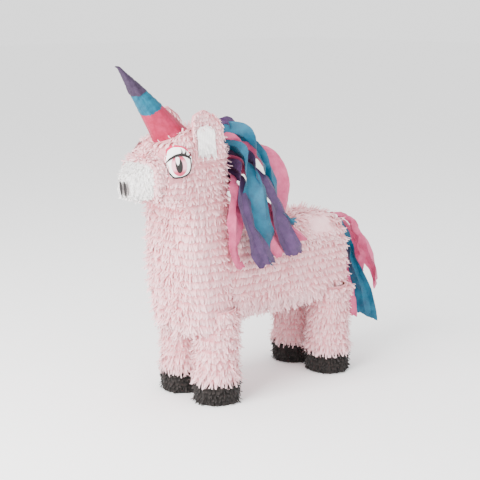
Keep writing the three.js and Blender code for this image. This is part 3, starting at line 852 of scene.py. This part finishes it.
def blob(name, outline, mat, place, lift, replaces=(), count=72, rings=9):
    """A filled shape of printed paper, laid on the surface that place maps onto."""
    edge = smooth_line(outline, count, closed=True)
    mid = edge.mean(0)
    co = [place(*mid, lift)]
    for r in range(1, rings + 1):
        co += [place(*(mid + (e - mid) * r / rings), lift) for e in edge]
    faces = [(0, 1 + i, 1 + (i + 1) % count) for i in range(count)]
    for r in range(rings - 1):
        a = 1 + r * count
        faces += [(a + i, a + count + i, a + count + (i + 1) % count, a + (i + 1) % count)
                  for i in range(count)]
    high = np.array([0] + [abs((edge[i] - mid)[1]) * r / rings for r in range(1, rings + 1)
                           for i in range(count)])
    return make(name, co, faces, mat, "pinata", replaces, {"tip": high / high.max()})


def stroke(name, points, widths, mat, place, lift, count=48):
    """A printed line whose width follows widths."""
    line = smooth_line(points, count)
    t = np.gradient(line, axis=0)
    side = np.stack([-t[:, 1], t[:, 0]], 1) / np.linalg.norm(t, axis=1, keepdims=True)
    w = np.interp(np.linspace(0, 1, count), np.linspace(0, 1, len(widths)), widths)[:, None] / 2
    co = [place(*q, lift) for a, b in zip(line - side * w, line + side * w) for q in (a, b)]
    faces = [(2 * i, 2 * i + 1, 2 * i + 3, 2 * i + 2) for i in range(count - 1)]
    return make(name, co, faces, mat, "pinata")


def oval(cx, cy, a, b, count=16):
    t = np.linspace(0, 2 * np.pi, count, endpoint=False)
    return list(zip(cx + a * np.cos(t), cy + b * np.sin(t)))


def eyes():
    for side in ("left", "right"):
        on = on_side(side)
        blob(f"eye_paper_{side}",
             [(-24.5, 2), (-17.5, 16.5), (-9, 22), (1, 25), (11, 24.5), (17, 21.5), (25.4, 9), (24.6, -9),
              (18.5, -19), (4.5, -24.2), (-11, -24.2), (-19, -16), (-22.2, -2)],
             "print_white", on, 0, [f"eye_sticker_{side}"])
        blob(f"eye_iris_{side}", oval(1, -5.5, 14, 16), "iris", on, 0.25)
        blob(f"eye_pupil_{side}", oval(0.5, -5.5, 6.6, 11.4), "print_grey", on, 0.5)
        blob(f"eye_glint_{side}", [(-4.6, 6.5), (-0.8, 8.5), (1.6, 5), (0.6, -1.5), (-2.4, -4.5), (-4.2, 0)],
             "print_white", on, 0.75)
        stroke(f"eye_lid_{side}",
               [(-23.5, 1), (-16.5, 15.5), (-8, 21.5), (1, 24), (10, 23.6), (16, 21), (21.5, 15.5),
                (24.6, 8)],
               (1.6, 2.9, 2.9, 2.7, 1.8), "print_magenta", on, 0.3)
        stroke(f"eye_upper_{side}",
               [(-22, -1), (-14, 5), (-7, 8.6), (1, 10.6), (8, 11), (15, 9.2), (24, 3.5)],
               (1.8, 3.2, 3.8, 4.4, 4.8, 2.8), "print_black", on, 0.8)
        stroke(f"eye_lower_{side}",
               [(-21.5, -1), (-20.5, -9), (-18, -15.5), (-10.5, -23), (-3, -23.6), (4.5, -23.2), (12, -21),
                (18, -18), (23, -9.5), (23.4, -2), (22.5, 5)],
               (1.6, 2.4, 2.8, 2.5, 2.7, 2.5, 2.0), "print_black", on, 0.6)
        lashes = (((5.5, 10.5), (9.5, 20.5)), ((12, 10.5), (17.5, 19.5)), ((19, 7.5), (24.8, 14.5)))
        for k, (a, b) in enumerate(lashes):
            mid = ((a[0] + b[0]) / 2 + 1.6, (a[1] + b[1]) / 2 - 0.8)
            stroke(f"eye_lash_{side}_{k}", [a, mid, b], (3.4, 2.4, 0.5), "print_black", on, 0.9, 16)


def nostrils():
    for side, sx in (("left", 1), ("right", -1)):
        x = sx * NOSTRIL_X
        blob(f"nostril_paper_{side}",
             [(x - 3.0, 12.5), (x + 0.5, 11), (x + 4.0, 4), (x + 4.4, -4), (x + 3.0, -12.5), (x + 0.2, -9.5),
              (x - 3.0, -2), (x - 4.2, 6)], "print_black", on_muzzle, 0, [f"nostril_sticker_{side}"], rings=5)


# ---------------------------------------------------------------- horn
HORN_BASE, HORN_LEAN = np.array((0, -188.3, 439.3)), math.radians(41.5)
HORN_LONG, HORN_R, HORN_TIP = 152, 26, 1.6


def horn():
    axis = np.array((0, -math.sin(HORN_LEAN), math.cos(HORN_LEAN)))
    across = np.array((1.0, 0, 0))
    up = np.cross(across, axis)
    skull = Surface(["head_fringe"])

    def seat(a):
        """How far along the horn the fringe lies, at that angle round it."""
        o = HORN_BASE + (across * math.cos(a) + up * math.sin(a)) * (HORN_R + 1)
        h = skull.hit(o, axis, 80)
        return float((h[0] - HORN_BASE) @ axis) if h else -8.0

    around, bands = 120, (("pink", None, 0.392), ("turquoise", 0.385, 0.635), ("purple", 0.628, 1.0))
    angles = [2 * math.pi * i / around for i in range(around)]
    seats = np.array([seat(a) for a in angles])
    for _ in range(6):
        seats = (np.roll(seats, 1) + seats + np.roll(seats, -1)) / 3
    for b, (name, start, end) in enumerate(bands):
        rows = 60
        ph = rng.random(12) * 6.28
        co, faces = [], []
        for r in range(rows + 1):
            for i, a in enumerate(angles):
                q = r / rows
                tilt = math.cos(a - math.radians(140))
                if start is None:
                    lo_s = seats[i] - 3.6 + 1.3 * math.sin(3 * a + 1) + 0.8 * math.sin(7 * a + 2)
                else:
                    lo_s = start * HORN_LONG + 0.5 * math.sin(5 * a + b) + 5 * tilt + 2
                hi_s = end * HORN_LONG + (0.5 * math.sin(4 * a + 2 * b) + 5 * tilt + 2 if end < 1 else 1.0)
                s = lo_s + (hi_s - lo_s) * q
                rad = HORN_R - (HORN_R - HORN_TIP) / HORN_LONG * s + 1.2 + 0.35 * b
                soft = (0.35 * math.sin(3 * a + ph[0] + s * 0.03) + 0.22 * math.sin(8 * a + ph[1] - s * 0.05)
                        + 0.12 * math.sin(17 * a + ph[2] + s * 0.11))
                if name == "pink":
                    rad += soft * 1.1 + 2.2 * max(0, 1 - q * 7) ** 2 * (0.7 + 0.5 * math.sin(5 * a))
                    rad += 0.45 * (math.sin(a * 1.0 + s * 0.02 - 1.0) > 0.72)
                elif name == "turquoise":
                    rad += soft * 1.2 + 0.28 * math.sin(s * 0.55 + 2.3 * math.sin(2 * a + ph[3]))
                    rad -= 0.3 * math.exp(-((q - 0.98) / 0.05) ** 2)
                else:
                    crush = (0.55 * abs(math.sin(3.0 * a + s * 0.09 + ph[4]))
                             + 0.45 * abs(math.sin(2 * a - s * 0.17 + ph[5])))
                    crush += 0.5 * abs(math.sin(s * 0.42 + 1.6 * math.sin(a + ph[6]))) * (0.4 + 0.6 * q)
                    rad = (rad + (crush - 0.75) * 1.5 * (1 - 0.5 * q) + 0.4) * (1 - 0.22 * q) - 1.6 * q
                rad = max(rad, 0.9, HORN_R - (HORN_R - HORN_TIP) / HORN_LONG * s + 0.3 if s < 148.5 else 0)
                bend = max(0, (s - 147) / 6) ** 2
                p = HORN_BASE + axis * s + (across * math.cos(a) + up * math.sin(a)) * rad
                p = p + np.array((0, -1.0, -0.6)) * 3.0 * bend
                co.append(at(*p))
        for r in range(rows):
            for i in range(around):
                a, c = r * around + i, r * around + (i + 1) % around
                faces.append((a, c, c + around, a + around))
        if end == 1.0:
            faces.append(tuple(rows * around + i for i in range(around)))
        make(f"horn_paper_{name}", co, faces, f"horn_{name}", "pinata", [f"horn_wrap_{name}"])


# ---------------------------------------------------------------- filling flap
def cover():
    node = "flap_cover"
    low, high = box_mm(node)
    skin = Surface([node])
    cx, cz = FLANK - 38, BACK - 38
    section = [((0, z), 0) for z in np.arange(low[2] + 0.4, cz, 2.0)]
    section += [((cx, cz), e) for e in range(0, 88, 3)]
    section += [((x, cz), 89.5) for x in np.arange(cx, low[0] + 0.3, -2.0)]
    ys = np.linspace(low[1] + 0.4, high[1] - 0.4, 44)
    f = Fringe("cover_fringe", node, sink=-0.4, body="flap",
               clear=[lambda p: ~((np.abs(p[:, 1] - (low[1] + high[1]) / 2 - 3) < 22)
                                  & (p[:, 2] > low[2] + 19) & (p[:, 0] > low[0] + 12))])
    for k in range(4, len(section), 5):
        (x, z), e = section[k]
        e = math.radians(e)
        rays = [((x, y, z), (math.cos(e), 0, math.sin(e))) for y in np.arange(low[1] + 1, high[1], 3)]
        for run in walk_on(skin, rays):
            for _ in range(2):
                p, n = spaced(run, 3.1, 1.2)
                ok = f.clear[0](p) if len(p) else []
                p, n = p[ok], n[ok]
                if len(p):
                    d = down_along(n, p.copy(), np.array((0.0, 40.0, 200.0)))
                    f.put(*strips(p, n, d, 14, 3.3, 0.55, 0.9, -0.3, 1.2))
    f.make()
    co, faces, n = [], [], len(ys)
    grid = {}
    for i, ((x, z), e) in enumerate(section):
        r = math.radians(e)
        d = (math.cos(r), 0, math.sin(r))
        for j, y in enumerate(ys):
            h = skin.hit((x, y, z), d)
            if not h:
                continue
            u, v = i / len(section), j / n
            edge = min(1, 5 * min(u, 1 - u, v, 1 - v) + 0.15)
            lift = (2.6 * edge + 0.55 * math.sin(9 * u + 5 * v) * math.sin(7 * v - 3 * u)
                    + 0.35 * abs(math.sin(15 * u - 11 * v)) + 0.25 * abs(math.sin(21 * v + 6 * u)))
            p = h[0] + h[1] * lift
            grid[i, j] = len(co)
            co.append(at(*p))
    for i in range(len(section) - 1):
        for j in range(n - 1):
            q = [grid.get(k) for k in ((i, j), (i, j + 1), (i + 1, j + 1), (i + 1, j))]
            if None not in q:
                faces.append(q)
    o = make("cover_tissue", co, faces, "smooth_pink", "flap")


def walk_on(skin, rays):
    run = [h[:2] for h in (skin.hit(o, d) for o, d in rays) if h]
    return [run] if len(run) > 1 else []


# ---------------------------------------------------------------- streamers
def curve(points, count):
    """The route of a streamer: a centripetal spline, as in part.mjs."""
    p = np.array(points, float)
    p = np.vstack([2 * p[0] - p[1], p, 2 * p[-1] - p[-2]])
    out = []
    for t in np.linspace(0, len(p) - 3, count):
        i = min(int(t), len(p) - 4)
        f = t - i
        a, b, c, d = p[i:i + 4]
        k0, k1, k2 = (max(np.linalg.norm(w) ** 0.5, 1e-3) for w in (b - a, c - b, d - c))
        m1 = ((b - a) / k0 - (c - a) / (k0 + k1) + (c - b) / k1) * k1
        m2 = ((c - b) / k1 - (d - b) / (k1 + k2) + (d - c) / k2) * k1
        out.append(b + m1 * f + (3 * (c - b) - 2 * m1 - m2) * f ** 2 + (2 * (b - c) + m1 + m2) * f ** 3)
    return np.array(out)


def creased(x, gap, amount):
    """A random line along x, straight between creases about a gap apart."""
    knots = np.cumsum(np.r_[0, gap * rng.uniform(0.5, 1.5, int(x[-1] / gap * 2) + 4)])
    return np.interp(x, knots, rng.normal(0, amount, len(knots)))


def streamer(name, colour, points, face_a, face_b, width, turn=0.45, folded=(0.75, 0.35), cut=0.07,
             body="pinata"):
    rows, cols = 84, 16
    line = curve(points, rows)
    s = run_length(line)
    t = s / s[-1]
    along = unit(np.gradient(line, axis=0))
    k = np.clip(t / turn, 0, 1)[:, None]
    k = k * k * (3 - 2 * k)
    face = np.array(face_a, float) * (1 - k) + np.array(face_b, float) * k
    across = unit(np.cross(along, face))
    normal = np.cross(across, along)
    twist = creased(s, 30, 0.32) * np.clip(t * 2.5, 0, 1)
    across, normal = (across * np.cos(twist)[:, None] + normal * np.sin(twist)[:, None],
                      normal * np.cos(twist)[:, None] - across * np.sin(twist)[:, None])
    # the strip's section is folded lengthwise into panels; folded gives the angle at root, middle and end
    u = np.linspace(0, 1, cols)
    creases = np.sort(rng.uniform((0.2, 0.55), (0.42, 0.8)))
    sign = np.where(u < creases[0], 1, np.where(u < creases[1], -1, 1)) * rng.choice((-1, 1))
    base = np.interp(t, (0, 0.5, 1), (*folded, folded[-1])[:3])
    phi = base[:, None] * sign[None] + np.stack([creased(s, 30, 0.16) for _ in range(3)], 1)[:, (
        (u >= creases[0]).astype(int) + (u >= creases[1]).astype(int))]
    gathered = np.clip(0.75 + 0.25 * t / 0.16, 0, 1)[:, None]
    du = width / (cols - 1) * gathered
    lateral = np.cumsum(np.cos(phi) * du, 1)
    lateral -= lateral.mean(1, keepdims=True)
    depth = np.cumsum(np.sin(phi) * du, 1)
    depth -= depth.mean(1, keepdims=True)
    # crumples
    ph = rng.random(10) * 6.28
    uu, ss = np.meshgrid(u * width, s)
    depth += (1.3 * np.abs(np.sin(ss * 0.07 + uu * 0.09 + ph[0]))
              + 1.0 * np.abs(np.sin(ss * 0.11 - uu * 0.12 + ph[1]))
              + 0.5 * np.abs(np.sin(ss * 0.31 + uu * 0.09 + ph[2]))
              + 0.2 * np.sin(ss * 0.6 - uu * 0.5 + ph[3]))
    # the end is cut at a slant, a little torn
    slant = rng.choice((-1, 1))
    end = 1 - cut * (0.5 + slant * (u - 0.5)) - 0.02 * np.abs(creased(u * width, 5, 0.7))
    co = np.empty((rows, cols, 3))
    for j in range(cols):
        q = t * end[j]
        pick = lambda a: np.stack([np.interp(q, t, a[:, i]) for i in range(3)], 1)
        co[:, j] = (pick(line) + pick(across) * np.interp(q, t, lateral[:, j])[:, None]
                    + pick(normal) * np.interp(q, t, depth[:, j])[:, None])
    co[..., 2] = np.maximum(co[..., 2], 3)
    # how steeply the section is folded, used by the crepe as a painted highlight
    fold_highlight = np.abs(np.gradient(depth, axis=1)).ravel()
    uv = np.stack([ss.ravel(), uu.ravel()], 1)
    o = make(name + "_crepe", co.reshape(-1, 3) * MM + np.array(MID), grid_faces(rows, cols),
             f"mane_{colour}", body, [name],
             {"fold_highlight": fold_highlight / fold_highlight.max()}, uv=uv, sharp=11)


CREST, NECK_TOP = -92.9, 328


BODY_HALF = 75


def beside(d):
    """Sideways place, d beyond half the body's width."""
    return BODY_HALF + d


MANE = [
    ("purple_top", 34, [(1, 1, 119), (3, 16, 122), (-2, 34, 117), (-14, 48, 98), (-20, 52, 70), (-24, 50, 36),
                        (-25, 46, 4)]),
    ("turquoise_outer", 46, [(1, 1, 107), (14, 20, 109), (32, 40, 101), (50, 52, 78), (beside(-13), 56, 52),
                             (beside(-7), 58, 20), (beside(0), 68, -12), (beside(6), 90, -38),
                             (beside(9), 112, -44)]),
    ("pink_loop", 38, [(1, 1, 95), (12, 16, 97), (28, 50, 82), (42, 80, 62), (52, 94, 36), (56, 94, 4),
                       (58, 86, -26)]),
    ("turquoise_front", 46, [(1, 1, 83), (16, 14, 84), (44, 18, 76), (66, 16, 52), (beside(5), 14, 10),
                             (beside(9), 18, -34), (beside(11), 34, -68), (beside(11), 50, -106)]),
    ("purple_back", 36, [(1, 1, 71), (18, 20, 66), (46, 34, 64), (70, 36, 38), (beside(12), 52, -4),
                         (beside(16), 68, -50), (beside(19), 100, -102)]),
    ("pink_middle", 42, [(1, 1, 59), (18, 12, 60), (40, 24, 50), (57, 28, 28), (beside(0), 32, -14),
                         (beside(7), 48, -52), (beside(11), 76, -98)]),
    ("purple_front", 38, [(1, 1, 47), (20, 9, 52), (50, 9, 46), (beside(0), -8, 14), (beside(13), -8, -26),
                          (beside(18), 8, -66), (beside(20), 34, -110)]),
    ("pink_front", 38, [(1, 1, 35), (20, 7, 38), (52, -4, 26), (beside(2), -28, -4), (beside(8), -32, -36),
                        (beside(6), -33, -74), (beside(8), -16, -112)]),
    ("pink_curl", 30, [(1, 1, 23), (20, 10, 22), (46, 30, 8), (beside(0), 56, -22), (beside(5), 80, -48),
                       (beside(8), 102, -64), (beside(10), 122, -80)]),
]
FOLDS = {"turquoise_outer": (0.45, 0.95), "pink_loop": (0.6, 0.3), "pink_curl": (0.7, 0.8),
         "turquoise": (1.4, 1.0, 0.2), "pink_long": (0.5, 0.7, 1.3)}
TAIL_Y, TAIL_Z = 170.7, 266
TAIL = [
    ("pink_long", "pink", 38, [(14, 0, 3), (15, 20, 2), (17, 44, -12), (19, 64, -40), (20, 86, -74),
                               (20, 108, -112), (20, 118, -150)]),
    ("pink_wide", "pink", 40, [(-4, 0, 0), (-3, 18, -3), (0, 40, -22), (4, 60, -50), (6, 74, -80),
                               (6, 76, -110)]),
    ("turquoise", "turquoise", 38, [(27, 0, -4), (27, 10, -12), (28, 22, -38), (30, 34, -70), (32, 46, -104),
                                    (33, 62, -138), (34, 74, -180), (34, 78, -204)]),
    ("purple", "purple", 32, [(-16, 0, -4), (-15, 10, -10), (-12, 20, -34), (-10, 30, -70), (-8, 38, -104),
                              (-8, 42, -134)]),
    ("pink_inner", "pink", 34, [(4, 2, -8), (6, 9, -20), (10, 20, -60), (13, 32, -110), (14, 44, -160),
                                (14, 48, -196)]),
]


def streamers():
    for name, width, path in MANE:
        streamer(f"mane_{name}", name.split("_")[0], [(x, CREST + y, NECK_TOP + z) for x, y, z in path],
                 (-0.2, 1, 0.1), (1, 0.15, 0.1), width, folded=FOLDS.get(name, (0.6, 0.35)))
    for name, colour, width, path in TAIL:
        streamer(f"tail_{name}", colour, [(x, TAIL_Y + y, TAIL_Z + z) for x, y, z in path],
                 (0, 0.3, 1), (0.75, -0.6, 0.2), width, folded=FOLDS.get(name, (1.0, 0.45)), cut=0.1,
                 body="tail")


def plain_nodes():
    """CAD pieces that keep their shape."""
    for name, node in NODES.items():
        mat = None
        if name in ("hanger_plate", "fill_flap", "horn_cone") or name.startswith("sole"):
            mat = "card"
        elif name.startswith(("torso_tube", "rump_cap", "neck_tube", "head_shell", "muzzle_box", "leg_tube")):
            M[name] = pasted(name)
            mat = name
        elif name.startswith("ear_card"):
            mat = "smooth_pink"
        elif name == "mane_strip":
            mat = "horn_pink"
        elif name == "tail_strip":
            mat = "smooth_white"
        if mat:
            node.data.materials.clear()
            node.data.materials.append(M[mat])


torso()
neck()
head()
muzzle()
legs()
ears()
eyes()
nostrils()
horn()
cover()
streamers()
plain_nodes()
